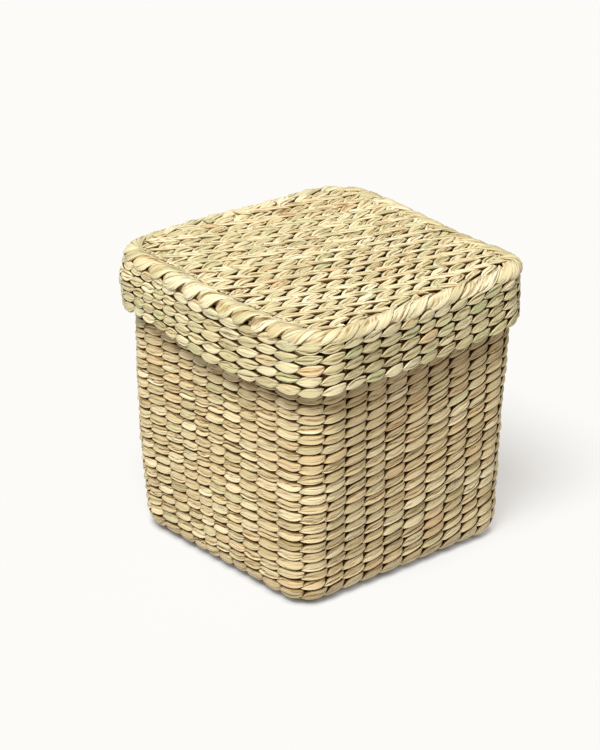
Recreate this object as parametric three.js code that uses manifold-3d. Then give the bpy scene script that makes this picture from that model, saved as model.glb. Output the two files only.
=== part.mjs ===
// Seagrass storage box: a square twined box with a loose lid that lifts straight off.
// Millimetres, +Z up, with the origin in the middle of the base's underside.
// The box and its lid are built alike, as trays: flat strips called stakes cross the floor and
// turn up into the walls, rows and bands of twined strand hold them, and a border ends each edge.
// The lid is a shallow tray turned over on the deep one.
import * as THREE from "three";
import { mergeVertices } from "three/addons/utils/BufferGeometryUtils.js";
import Module from "manifold-3d";

const wasm = await Module();
wasm.setup();

// Overall sizes
const lidWidth = 130;
const overallHeight = 130;
const skirtHeight = 28.5; // from the lid's top face to the end of its hem
const lidCorner = 20; // radius of the lid's upright corners, seen from above
const lidPlay = 0.5; // between the lid's skirt and the body's wall, on each side
const lidSeat = 0.3; // between the body's rim and the lid's underside

// Strands and stakes
const strand = 1.5; // thickness of the twined strand on each face of a wall
const stakeThickness = 1.1;
const stakeWidth = 4;
const stakePlay = 0.5; // between a stake and the strand on each side of it
const turnGap = 0.3; // between one band or row and the next
const courseGroove = 0.8; // depth of the hollow between two courses of strand
const bodyBend = 4.9; // inner radius of a stake's bend from the base into the wall
const lidBend = 1.4; // the same from the lid's top into its skirt
const cornerReach = 2.5; // how far the last stake of a wall reaches into the round corner
const slotEnd = 25; // degrees of the round corner that the slot for the stakes takes in

// Turns of strand
const rimHeight = 5;
const hemHeight = 4.5;
const lidBorderFace = 4.5; // flat part of the lid's border beside the rounded edge
const bodyBorderFace = 0;

// About how far apart the repeated pieces are. A whole number of them fills the room they have.
const coursePitch = 4.6; // one course of twined strand and the next, in a band or a floor row
const bodyBandPitch = 13.9;
const lidBandPitch = 9.3;
const bodyStakePitch = 10.1;
const lidStakePitch = 9.1;
const baseRowPitch = 10.2;
const lidRowPitch = 8.6;

// A course's rounded back: shares of its height, and how far each lies below its crown as a share
// of the groove's depth
const courseBack = [
  [0.12, 0.4],
  [0.3, 0],
  [0.7, 0],
  [0.88, 0.4],
  [1, 1],
];

// Facets
const cornerSteps = 3; // pairs of facets in each upright corner
const slotSteps = 1; // pairs of facets in each bent end of a slot
const bendSteps = 4; // facets in each bend, edge and border

// Colours
const strandColour = 0xb5a47a;
const borderColour = 0xa8966a;
const rowColour = 0xbca983;
const stakeColour = 0x8d7d56;
const strandRoughness = 0.8;

// Sizes that follow from these
const wall = 2 * (strand + stakePlay) + stakeThickness;
const bendCover = stakeThickness + stakePlay + strand; // a bend's inner face to the outer face
const lidHalf = lidWidth / 2;
const shellStep = wall + lidPlay; // the lid's outer face to the body's outer face

const bodyTray = {
  half: lidHalf - shellStep,
  corner: lidCorner - shellStep,
  bend: bodyBend,
  borderFace: bodyBorderFace,
  depth: overallHeight - wall - lidSeat,
  rim: rimHeight,
  bandPitch: bodyBandPitch,
  stakePitch: bodyStakePitch,
  rowPitch: baseRowPitch,
  ridgesInside: true,
};

const lidTray = {
  half: lidHalf,
  corner: lidCorner,
  bend: lidBend,
  borderFace: lidBorderFace,
  depth: skirtHeight,
  rim: hemHeight,
  bandPitch: lidBandPitch,
  stakePitch: lidStakePitch,
  rowPitch: lidRowPitch,
  ridgesInside: false,
};

// Sizes of a tray that its parts share: its rounded edge, and where its walls and floor begin.
function completeTray(tray) {
  tray.edge = tray.bend + bendCover;
  tray.flat = tray.half - tray.corner;
  tray.borderWidth = tray.edge + tray.borderFace;
  tray.field = tray.half - tray.borderWidth - turnGap;
  tray.wallStart = Math.max(tray.edge, wall);
  tray.wallEnd = tray.depth - tray.rim;
  tray.legEnd = tray.depth - strand - turnGap;
  return tray;
}

// Outline of a square with rounded corners, as a Shape or as a Path for a hole.
function roundedSquare(Outline, half, radius) {
  const outline = new Outline();
  const flat = half - radius;
  const quarter = Math.PI / 2;
  outline.absarc(flat, flat, radius, 0, quarter);
  outline.absarc(-flat, flat, radius, quarter, 2 * quarter);
  outline.absarc(-flat, -flat, radius, 2 * quarter, 3 * quarter);
  outline.absarc(flat, -flat, radius, 3 * quarter, 4 * quarter);
  return outline;
}

// Points of an arc in a section. Degrees count from the +X side towards +Z.
function arc(x, z, radius, from, to) {
  const points = [];
  for (let step = 0; step <= bendSteps; step += 1) {
    const angle = THREE.MathUtils.degToRad(from + ((to - from) * step) / bendSteps);
    points.push([x + radius * Math.cos(angle), z + radius * Math.sin(angle)]);
  }
  return points;
}

// The same points with each one that repeats the point before it left out.
function withoutRepeats(points) {
  const same = (a, b) => Math.hypot(a[0] - b[0], a[1] - b[1]) < 1e-6;
  return points.filter((point, index) => !same(point, points.at(index - 1)));
}

// A ring that carries a closed section round a square with rounded corners. The section's points
// are distances out from the middle of a side and heights, and run anticlockwise.
function sectionRing(tray, section) {
  const rings = withoutRepeats(section).map(([out, height]) => {
    const path = roundedSquare(THREE.Path, out, out - tray.flat);
    return path.getPoints(cornerSteps).map((point) => [point.x, point.y, height]);
  });
  const around = rings[0].length;
  const index = [];
  for (let ring = 0; ring < rings.length; ring += 1) {
    const here = ring * around;
    const next = ((ring + 1) % rings.length) * around;
    for (let point = 0; point < around; point += 1) {
      const following = (point + 1) % around;
      index.push(here + point, here + following, next + following);
      index.push(here + point, next + following, next + point);
    }
  }
  const geometry = new THREE.BufferGeometry();
  geometry.setAttribute("position", new THREE.Float32BufferAttribute(rings.flat(2), 3));
  geometry.setIndex(index);
  return geometry;
}

// The round edge between a tray's floor and wall: one strand over the stakes' bends.
function borderSection(tray) {
  const centre = tray.half - tray.edge;
  return [
    [tray.half - tray.borderWidth, 0],
    ...arc(centre, tray.edge, tray.edge, -90, 0),
    [tray.half, tray.wallStart],
    [tray.half - strand, tray.wallStart],
    ...arc(centre, tray.edge, tray.edge - strand, 0, -90),
    [tray.half - tray.borderWidth, strand],
  ];
}

// The strand inside the stakes' bends. Where the bend is tight it has a plain inner corner.
function liningSection(tray) {
  const centre = tray.half - tray.edge;
  const inner = tray.half - wall;
  const innerRadius = tray.edge - wall;
  const innerPoints = innerRadius > 0 ? arc(centre, tray.edge, innerRadius, 0, -90) : [[inner, wall]];
  return [
    [tray.half - tray.borderWidth, wall - strand],
    ...arc(centre, tray.edge, tray.bend - stakePlay, -90, 0),
    [inner + strand, tray.wallStart],
    [inner, tray.wallStart],
    ...innerPoints,
    [tray.half - tray.borderWidth, wall],
  ];
}

// The border at a tray's open edge: a channel that closes over the ends of the stakes.
function rimSection(tray) {
  const inner = tray.half - wall;
  const top = tray.depth;
  return [
    [tray.half, tray.wallEnd],
    ...arc(tray.half - strand, top - strand, strand, 0, 90),
    ...arc(inner + strand, top - strand, strand, 90, 180),
    [inner, tray.wallEnd],
    [inner + strand, tray.wallEnd],
    [inner + strand, top - strand],
    [tray.half - strand, top - strand],
    [tray.half - strand, tray.wallEnd],
  ];
}

// Slot in a band for the stakes of one wall, bent a little round the corner at each end.
function stakeSlot(tray, wallIndex) {
  const turn = (wallIndex * Math.PI) / 2;
  const end = THREE.MathUtils.degToRad(slotEnd);
  const outer = tray.corner - strand;
  const inner = tray.corner - wall + strand;
  const right = new THREE.Vector2(tray.flat, tray.flat).rotateAround(new THREE.Vector2(), turn);
  const left = new THREE.Vector2(tray.flat, -tray.flat).rotateAround(new THREE.Vector2(), turn);
  const slot = new THREE.Path();
  slot.absarc(right.x, right.y, outer, turn, turn + end, false);
  slot.absarc(right.x, right.y, inner, turn + end, turn, true);
  slot.absarc(left.x, left.y, inner, turn, turn - end, true);
  slot.absarc(left.x, left.y, outer, turn - end, turn, false);
  return new THREE.Path(slot.getPoints(slotSteps));
}

// A length of wall or floor ridged by courses of strand, as distances along it and depths below
// the courses' crowns.
function courseRidges(length) {
  const courses = howMany(length, coursePitch);
  const points = [[0, courseGroove]];
  for (let course = 0; course < courses; course += 1) {
    for (const [share, depth] of courseBack) {
      points.push([((course + share) * length) / courses, depth * courseGroove]);
    }
  }
  return points;
}

// A band of twined strand: a closed ring, ridged on the outside, with a slot for the stakes in
// each of its four walls. The ring that ridges it reaches further in than the band does.
function bandGeometry(tray, start, height) {
  const shape = roundedSquare(THREE.Shape, tray.half + strand, tray.corner + strand);
  shape.holes.push(roundedSquare(THREE.Path, tray.half - wall, tray.corner - wall));
  for (let wallIndex = 0; wallIndex < 4; wallIndex += 1) {
    shape.holes.push(stakeSlot(tray, wallIndex));
  }
  const band = new THREE.ExtrudeGeometry(shape, {
    depth: height + 2 * strand,
    bevelEnabled: false,
    curveSegments: cornerSteps,
  });
  const ridges = courseRidges(height).map(([up, depth]) => [tray.half - depth, start + up]);
  const inner = tray.half - wall - strand;
  const ring = sectionRing(tray, [[inner, start], ...ridges, [inner, start + height]]);
  return fromSolid(toSolid(band.translate(0, 0, start - strand)).intersect(toSolid(ring)));
}

// Half a stake from the side: along the floor from start, round its bend and up the wall.
function stakeHalf(tray, start) {
  const middle = wall / 2;
  const halfThick = stakeThickness / 2;
  const centre = tray.half - tray.edge;
  return [
    [start, middle - halfThick],
    ...arc(centre, tray.edge, tray.bend + stakeThickness, -90, 0),
    [tray.half - middle + halfThick, tray.legEnd],
    [tray.half - middle - halfThick, tray.legEnd],
    ...arc(centre, tray.edge, tray.bend, 0, -90),
    [start, middle + halfThick],
  ];
}

// A flat outline in X and Z given a width along Y, centred on Y = 0.
function slab(outline, hole, width) {
  const toPoints = (points) => withoutRepeats(points).map(([x, z]) => new THREE.Vector2(x, z));
  const shape = new THREE.Shape(toPoints(outline));
  if (hole) {
    shape.holes.push(new THREE.Path(toPoints(hole)));
  }
  const geometry = new THREE.ExtrudeGeometry(shape, { depth: width, bevelEnabled: false });
  return geometry.translate(0, 0, -width / 2).rotateX(Math.PI / 2);
}

// A whole stake: a strip bent into a U, lying along X.
function stakeGeometry(tray) {
  const half = stakeHalf(tray, 0);
  const otherHalf = half.map(([x, z]) => [-x, z]).reverse();
  return slab([...half, ...otherHalf], null, stakeWidth);
}

// Corners of an upright rectangle, centred on x = 0.
function rectangle(halfLength, low, high) {
  return [
    [-halfLength, low],
    [halfLength, low],
    [halfLength, high],
    [-halfLength, high],
  ];
}

function toSolid(geometry) {
  const bare = new THREE.BufferGeometry();
  bare.setAttribute("position", geometry.getAttribute("position"));
  if (geometry.index) {
    bare.setIndex(geometry.index);
  }
  const merged = mergeVertices(bare, 1e-4);
  return new wasm.Manifold(
    new wasm.Mesh({
      numProp: 3,
      vertProperties: merged.getAttribute("position").array,
      triVerts: new Uint32Array(merged.index.array),
    }),
  );
}

function fromSolid(solid) {
  const mesh = solid.getMesh();
  const geometry = new THREE.BufferGeometry();
  geometry.setAttribute("position", new THREE.BufferAttribute(mesh.vertProperties, 3));
  geometry.setIndex(new THREE.BufferAttribute(mesh.triVerts, 1));
  return geometry;
}

// What gives a row its ridges: a block a little larger than the row on all other sides, ridged on
// the side of the floor that faces up when the tray is in use.
function rowRidges(tray, width) {
  const beyond = width / 2 + strand;
  const section = [
    [-beyond, wall + strand],
    [-beyond, courseGroove],
    ...courseRidges(width).map(([across, depth]) => [across - width / 2, depth]),
    [beyond, courseGroove],
    [beyond, wall + strand],
  ];
  const facingUp = tray.ridgesInside ? section.map(([across, z]) => [across, wall - z]) : section;
  return slab(facingUp, null, 2 * tray.half).rotateZ(Math.PI / 2);
}

// A row of the floor, lying along X at a place along Y: two strands that meet at both ends, open
// between them for the stakes that cross it. Its corners keep inside the tray's round corners.
function rowBar(tray, place, width) {
  const strands = rectangle(tray.field, 0, wall);
  const passage = rectangle(tray.field - strand, strand, wall - strand);
  const plain = toSolid(slab(strands, passage, width));
  const bar = plain.intersect(toSolid(rowRidges(tray, width))).translate(0, place, 0);
  if (Math.abs(place) + width / 2 <= tray.flat) {
    return bar;
  }
  const floor = roundedSquare(THREE.Shape, tray.field, tray.field - tray.flat);
  const room = new THREE.ExtrudeGeometry(floor, {
    depth: tray.depth,
    bevelEnabled: false,
    curveSegments: cornerSteps,
  });
  return bar.intersect(toSolid(room.translate(0, 0, -strand)));
}

// A row in line with the flat of the walls turns up into them at both ends, as a stake. The legs
// keep as far from the round corners as the outermost stakes do.
function rowGeometry(tray, place, width) {
  const bar = rowBar(tray, place, width);
  const outermost = tray.flat + cornerReach - stakeWidth / 2;
  const legPlace = THREE.MathUtils.clamp(place, -outermost, outermost);
  if (Math.abs(legPlace - place) > (width - stakeWidth) / 2) {
    return fromSolid(bar);
  }
  const leg = stakeHalf(tray, tray.field - strand / 2);
  const otherLeg = leg.map(([x, z]) => [-x, z]).reverse();
  const legs = [leg, otherLeg].map((outline) =>
    toSolid(slab(outline, null, stakeWidth).translate(0, legPlace, 0)),
  );
  return fromSolid(wasm.Manifold.union([bar, ...legs]));
}

function namedMesh(name, geometry, colour) {
  const material = new THREE.MeshStandardMaterial({
    color: colour,
    roughness: strandRoughness,
    metalness: 0,
    flatShading: true,
  });
  const mesh = new THREE.Mesh(geometry, material);
  mesh.name = name;
  return mesh;
}

const twoDigits = (number) => String(number).padStart(2, "0");

// How many pieces of about the given pitch fill a length.
const howMany = (length, pitch) => Math.max(1, Math.round(length / pitch));

// Place of one of several pieces that are set evenly about the middle.
const placeOf = (index, count, pitch) => (index - (count - 1) / 2) * pitch;

// Stakes that lie along X and turn up into the two walls they meet.
function addStakes(group, tray, name) {
  const span = 2 * (tray.flat + cornerReach) - stakeWidth;
  const spaces = howMany(span, tray.stakePitch);
  for (let index = 0; index <= spaces; index += 1) {
    const stake = namedMesh(name + twoDigits(index + 1), stakeGeometry(tray), stakeColour);
    stake.position.y = placeOf(index, spaces + 1, span / spaces);
    group.add(stake);
  }
}

// Floor rows that lie along Y, side by side across the floor.
function addRows(group, tray, name) {
  const length = 2 * tray.field + turnGap;
  const rows = howMany(length, tray.rowPitch);
  const pitch = length / rows;
  for (let index = 0; index < rows; index += 1) {
    const place = placeOf(index, rows, pitch);
    const geometry = rowGeometry(tray, place, pitch - turnGap).rotateZ(-Math.PI / 2);
    group.add(namedMesh(name + twoDigits(index + 1), geometry, rowColour));
  }
}

// Bands of twined strand one above another, from the rounded edge to the border.
function addBands(group, tray, name) {
  const height = tray.wallEnd - tray.wallStart - turnGap;
  const bands = howMany(height, tray.bandPitch);
  const pitch = height / bands;
  for (let index = 0; index < bands; index += 1) {
    const start = tray.wallStart + turnGap + index * pitch;
    const geometry = bandGeometry(tray, start, pitch - turnGap);
    group.add(namedMesh(name + (index + 1), geometry, strandColour));
  }
}

function buildTray(tray, names) {
  const group = new THREE.Group();
  completeTray(tray);
  addStakes(group, tray, names.stake);
  addRows(group, tray, names.row);
  group.add(namedMesh(names.border, sectionRing(tray, borderSection(tray)), borderColour));
  group.add(namedMesh(names.lining, sectionRing(tray, liningSection(tray)), borderColour));
  addBands(group, tray, names.band);
  group.add(namedMesh(names.rim, sectionRing(tray, rimSection(tray)), borderColour));
  return group;
}

const body = buildTray(bodyTray, {
  stake: "body_stake_",
  row: "base_row_",
  border: "base_border",
  lining: "base_lining",
  band: "wall_band_",
  rim: "rim_border",
});

const lid = buildTray(lidTray, {
  stake: "lid_stake_",
  row: "lid_row_",
  border: "lid_border",
  lining: "lid_lining",
  band: "skirt_band_",
  rim: "skirt_hem",
});
lid.rotation.x = Math.PI;
lid.position.z = overallHeight;

const group = new THREE.Group();
group.add(body, lid);

export default group;
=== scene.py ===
# Seagrass storage box: every strand of the twined walls, floor, lid and borders as a mesh.
# Shapes are worked out in millimetres and put into the meshes in metres, in the CAD frame.
import math

import bpy
import mathutils
import numpy as np
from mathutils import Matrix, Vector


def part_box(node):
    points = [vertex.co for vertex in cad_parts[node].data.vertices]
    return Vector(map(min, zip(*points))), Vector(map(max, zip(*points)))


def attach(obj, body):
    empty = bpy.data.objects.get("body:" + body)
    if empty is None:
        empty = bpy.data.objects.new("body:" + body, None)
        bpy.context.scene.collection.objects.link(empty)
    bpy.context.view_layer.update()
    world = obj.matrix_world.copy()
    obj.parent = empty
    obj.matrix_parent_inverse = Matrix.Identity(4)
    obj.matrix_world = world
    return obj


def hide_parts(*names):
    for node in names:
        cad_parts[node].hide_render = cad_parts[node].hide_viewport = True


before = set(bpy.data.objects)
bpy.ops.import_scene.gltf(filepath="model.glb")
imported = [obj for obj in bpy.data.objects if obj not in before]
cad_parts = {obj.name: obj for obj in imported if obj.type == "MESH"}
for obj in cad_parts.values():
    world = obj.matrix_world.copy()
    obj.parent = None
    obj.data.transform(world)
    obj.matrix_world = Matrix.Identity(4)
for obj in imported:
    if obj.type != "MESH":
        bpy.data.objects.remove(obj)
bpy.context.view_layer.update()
print("frame loaded")

metresPerMm = 0.001


# Low and high corners of a CAD node's box in mm.
def boxMm(node):
    low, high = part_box(node)
    return np.array(low) / metresPerMm, np.array(high) / metresPerMm


# The CAD nodes of a pattern, in order.
def nodesOf(prefix):
    return sorted(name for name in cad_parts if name.startswith(prefix))


# A value held between 0 and 1.
def clamp(value):
    return np.clip(value, 0, 1)


# Place of one of a count of things that stand a pitch apart about the middle.
def centred(index, count, pitch):
    return (index - (count - 1) / 2) * pitch


# Shells

# Where strands pass over a stake, in mm along the middle of each wall from its centre. The walls
# that face the camera are measured; each repeats across from it.
shellSizes = {
    "lidCorner": 20.0,   # radius of the lid's upright corners
    "lidEdge": 4.5,      # rounding of the lid's top edge
    "cornerStake": -58.3,  # one more stake at the right-hand wall's front corner
    "bodyRightWall": (-45, -33, -22, -10.8, 1, 13.2, 24.8, 35.6, 44.8, 54.3),
    "bodyLeftWall": (-47.5, -37.6, -27, -17, -8.8, -0.2, 9.9, 20.2, 31.4, 45, 55.3),
    "lidRightWall": (-52.6, -42, -31.8, -21, -10.4, -0.2, 9.2, 20, 29.8, 40, 49.3, 58.7),
    "lidLeftWall": (-49.2, -42.8, -36.4, -29.5, -23.1, -15.7, -7.6, 2.3, 12.8, 24.6, 35.9, 47, 57),
}

overallHeight = boxMm("lid_border")[1][2]
wallThickness = overallHeight - boxMm("lid_border")[0][2]
lidHalf = boxMm("skirt_band_1")[1][0]
bodyHalf = boxMm("wall_band_1")[1][0]
rimTop = boxMm("rim_border")[1][2]


# A shell is a tray with rounded corners: flat is half a wall's straight part, edge the rounding
# between floor and wall. A turned shell hangs upside down from the top, as the lid does.
def makeShell(half, corner, edge, rightWall, leftWall, turned):
    shell = {"half": half, "edge": edge, "flat": half - corner, "turned": turned}
    shell["middleRadius"] = corner - wallThickness / 2
    shell["quarter"] = 2 * shell["flat"] + math.pi / 2 * shell["middleRadius"]
    shell["length"] = 4 * shell["quarter"]
    walls = [np.array(wall, float) for wall in (rightWall, leftWall, rightWall, leftWall)]
    shell["stitchPlaces"] = np.concatenate([w + i * shell["quarter"] for i, w in enumerate(walls)])
    return shell


bodyCorner = shellSizes["lidCorner"] - (lidHalf - bodyHalf)
bodyShell = makeShell(bodyHalf, bodyCorner, boxMm("base_border")[1][2],
                      shellSizes["bodyRightWall"], shellSizes["bodyLeftWall"], False)
lidShell = makeShell(lidHalf, shellSizes["lidCorner"], shellSizes["lidEdge"],
                     shellSizes["lidRightWall"], shellSizes["lidLeftWall"], True)


# Point on a ring: along is the distance round the middle of the wall, anticlockwise from the
# middle of the +X wall; reach is how far out it lies; the corners are arcs about fixed centres.
def ringPoint(shell, along, reach, height):
    flat = shell["flat"]
    start = along + flat
    side = np.floor(start / shell["quarter"])
    local = start - side * shell["quarter"]
    straight = np.minimum(local, 2 * flat) - flat
    angle = np.maximum(local - 2 * flat, 0) / shell["middleRadius"]
    x = flat + (reach - flat) * np.cos(angle)
    y = straight + (reach - flat) * np.sin(angle)
    turn = side * math.pi / 2
    z = overallHeight - height if shell["turned"] else height
    cosine, sine = np.cos(turn), np.sin(turn)
    return np.stack([x * cosine - y * sine, x * sine + y * cosine, z + 0 * x], -1)


# Point in a shell's skin: up is the distance up the middle of the wall, which below the edge
# follows the bend and then the floor inwards; out is the distance from the middle outwards.
def shellPoint(shell, along, up, out):
    bend = shell["edge"] - wallThickness / 2
    below = shell["edge"] - up
    angle = np.clip(below / bend, 0, math.pi / 2)
    onFloor = np.maximum(below - bend * math.pi / 2, 0)
    reach = shell["half"] - shell["edge"] + (bend + out) * np.cos(angle) - onFloor
    height = shell["edge"] - (bend + out) * np.sin(angle) + np.maximum(-below, 0)
    return ringPoint(shell, along, reach, height)


# Hand-made shape

# How far the real box strays from a true one, fitted to the photographed outline, over height in
# mm or over degrees round the box, from -180 at -X; corners are at odd 45s.
settling = {
    "swell": 1.017,  # the strands stand a little past the nominal size
    "heights": (0, 10, 20, 30, 47, 62, 75, 100, 125),
    "halfChange": (-2.4, -1.8, -1.2, -0.6, -0.2, 0, 0.3, 0.5, 0.3),
    "around": (-180, -135, -45, 45, 135, 180),
    "topSideways": (2.2, -0.6, 3.6, 0.4, 5.0, 2.2),
    "baseSideways": (0, 0, -2.6, 0, 0, 0),
    "sidewaysDirection": (0.665, 0.747),
    "wallWave": 0.45,
    "courseWave": 0.45,
    "liftAround": (-180, -145, -135, -125, -114, -99, -90, -71, -55, -45, -32, -17, 0, 31, 45, 60,
                   90, 135, 180),
    "hemLift": (1.5, 2.5, 3, 4.6, 2.3, -0.8, -2.4, -2.2, 0, -0.3, 1.5, 0.3, 0.1, 1, 3, 1, 0, 1, 1.5),
    "topLift": (2, 3.9, 4.5, 3.2, 1.6, -0.4, -1, -1, -0.4, 0, 1, 0.5, 0, -0.5, -1, -1.1, -1.2, -1.2, 2),
    "bulgeDepths": (0, 0.15, 0.5, 0.8, 1),  # the lid's left corner, from its top to its hem
    "leftCornerBulge": (-2.6, -1.0, 1.2, 0.6, 0.2),
    "bulgeSharpness": 8,  # how fast the bulge dies off along the walls
    "bulgeAtCorner": 0.45,
    "calmMm": 20,  # the body's waves fade this near the floor and the rim
    "lidWave": 0.5,
    "lidWaveCloser": 1.4,
    "hemCalm": 0.6,
    # Waves in and out, and up and down: height, radians a mm along x, y and z, and start.
    "bulgeWaves": ((1, (0.047, 0, 0.038), 0.7), (0.6, (0, 0.083, -0.052), 2.1)),
    "courseWaves": ((0.7, (0.041, -0.033, 0), 0.4), (0.5, (0.061, 0.079, 0.02), 0)),
}


# Sum of a table's sine waves at a point.
def waveAt(table, x, y, z):
    return sum(tall * np.sin(a * x + b * y + c * z + start)
               for tall, (a, b, c), start in settling[table])


# Degrees round the box from +X, anticlockwise.
def degreesRound(x, y):
    return np.degrees(np.arctan2(y, x))


# Sideways shift of the corners: a share of the top's table and of the base's by height.
def pushSideways(x, y, z):
    around = degreesRound(x, y)
    share = clamp(z / overallHeight)
    top = np.interp(around, settling["around"], settling["topSideways"])
    base = np.interp(around, settling["around"], settling["baseSideways"])
    reach = clamp(np.hypot(x, y) / bodyHalf)
    shift = (top * share + base * (1 - share)) * reach
    return x + shift * settling["sidewaysDirection"][0], y + shift * settling["sidewaysDirection"][1]


# The walls narrow to the base and wave in and out. The courses wave up and down, but not where
# the box stands and where the lid rests. What would lie under the floor is pressed flat.
def settleBody(points):
    x, y, z = points[..., 0], points[..., 1], points[..., 2]
    middle = clamp(z / settling["calmMm"]) * clamp((rimTop - z) / settling["calmMm"])
    change = np.interp(z, settling["heights"], settling["halfChange"])
    change = change + settling["wallWave"] * waveAt("bulgeWaves", x, y, z) * middle
    spread = settling["swell"] + change / bodyHalf
    lift = settling["courseWave"] * waveAt("courseWaves", x, y, z) * middle
    x, y = pushSideways(x * spread, y * spread, z)
    return np.stack([x, y, np.maximum(z + lift, 0)], -1)


# The lid's edges rise and sag by the two tables, blended from hem to top. Its left corner bulges
# halfway up and is drawn in at the top.
def settleLid(points):
    x, y, z = points[..., 0], points[..., 1], points[..., 2]
    around = degreesRound(x, y)
    hem = np.interp(around, settling["liftAround"], settling["hemLift"])
    top = np.interp(around, settling["liftAround"], settling["topLift"])
    depth = clamp((overallHeight - z) / (overallHeight - boxMm("skirt_hem")[0][2]))
    share = clamp(np.maximum(np.abs(x), np.abs(y)) / lidHalf) ** 2
    lift = (top * (1 - depth) + hem * depth) * share
    closer = settling["lidWaveCloser"]
    wave = settling["lidWave"] * waveAt("courseWaves", closer * x, closer * y, z)
    wave = wave * (1 - settling["hemCalm"] * depth)
    toLeft = clamp((-x - y) / (2 * lidHalf)) ** settling["bulgeSharpness"]
    toLeft = toLeft / settling["bulgeAtCorner"]
    bulge = np.interp(depth, settling["bulgeDepths"], settling["leftCornerBulge"])
    spread = settling["swell"] + bulge / lidHalf * toLeft
    x, y = pushSideways(x * spread, y * spread, z)
    return np.stack([x, y, z + lift + wave], -1)


bodyShell["settle"], lidShell["settle"] = settleBody, settleLid


# Strands

# Across a strand's outer face from its upper edge to its lower one, as shares of half its width;
# then back across its inner face.
faceShares = np.array([-1, -0.975, -0.91, -0.82, -0.68, -0.5, -0.3, -0.1, 0.1, 0.3, 0.5, 0.68,
                       0.82, 0.91, 0.975, 1.0])
backShares = np.array([0.7, 0, -0.7])
acrossShares = np.concatenate([faceShares, backShares])
onFace = np.concatenate([np.ones(len(faceShares)), np.zeros(len(backShares))])

# Along a stitch from one crossing to the next, closest near the crossings.
stationShares = np.array([-0.5, -0.465, -0.41, -0.32, -0.19, -0.04, 0.11, 0.25, 0.36, 0.44, 0.48])


# Value at each station, in straight lines from stitch to stitch, round the ring if closed.
def between(stitchValues, place, closed):
    count = len(stitchValues)
    if closed:
        low = np.floor(place).astype(int)
        share = place - low
        return stitchValues[low % count] * (1 - share) + stitchValues[(low + 1) % count] * share
    return np.interp(place, np.arange(count), stitchValues)


# Creases and section across a strand, as shares of half its width.
creaseShape = {"between": (-0.8, 0.7), "foot": 0.08, "climb": 0.35, "lineDark": 1.1}
sectionShape = {"flatness": 5, "lipAt": 0.82, "lipWidth": 0.1, "upperFade": 0.6, "lowerAt": 0.93,
                "lowerFade": 0.07}


# Creases along a strand's face, where the rush is folded: the face drops by a step whose place
# and depth drift from stitch to stitch, and climbs back below it. Lines of painted shade follow the steps.
def creaseGrooves(style, place, closed, count, rng):
    depth = np.zeros((len(place), len(acrossShares)))
    lines = np.zeros((len(place), len(acrossShares)))
    for _ in range(style["creases"]):
        centre = between(rng.uniform(*creaseShape["between"], count), place, closed)[:, None]
        deep = between(rng.uniform(0, 1, count) ** 2, place, closed)[:, None]
        below = acrossShares - centre
        narrow = deep * np.exp(-((below / creaseShape["foot"]) ** 2))
        wide = deep * np.exp(-below / creaseShape["climb"])
        depth += style["creaseDepth"] * np.where(below > 0, wide, narrow)
        lines += creaseShape["lineDark"] * narrow
    return depth * onFace, lines * onFace


# Height of a strand's face and back across it: a flat crown that drops steeply at both edges,
# less the creases. Edge is 1 at the edges, where shade is painted on, and the lip is a thin line
# just above the lower one, painted pale as a painted highlight.
def strandSection(style, thick, grooves):
    shares, shape = acrossShares[None, :], sectionShape
    crown = (1 - np.abs(shares) ** shape["flatness"]) ** 0.5
    face = thick[:, None] / 2 * crown * np.where(onFace > 0, 1, -1) - grooves
    lip = np.exp(-(((shares - shape["lipAt"]) / shape["lipWidth"]) ** 2)) * onFace
    dark = style["darkEdge"]
    edge = clamp((-shares - 1 + dark) / (shape["upperFade"] * dark))
    edge = edge + clamp((shares - shape["lowerAt"]) / shape["lowerFade"])
    return face + style["lip"] * lip, edge, lip


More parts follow.
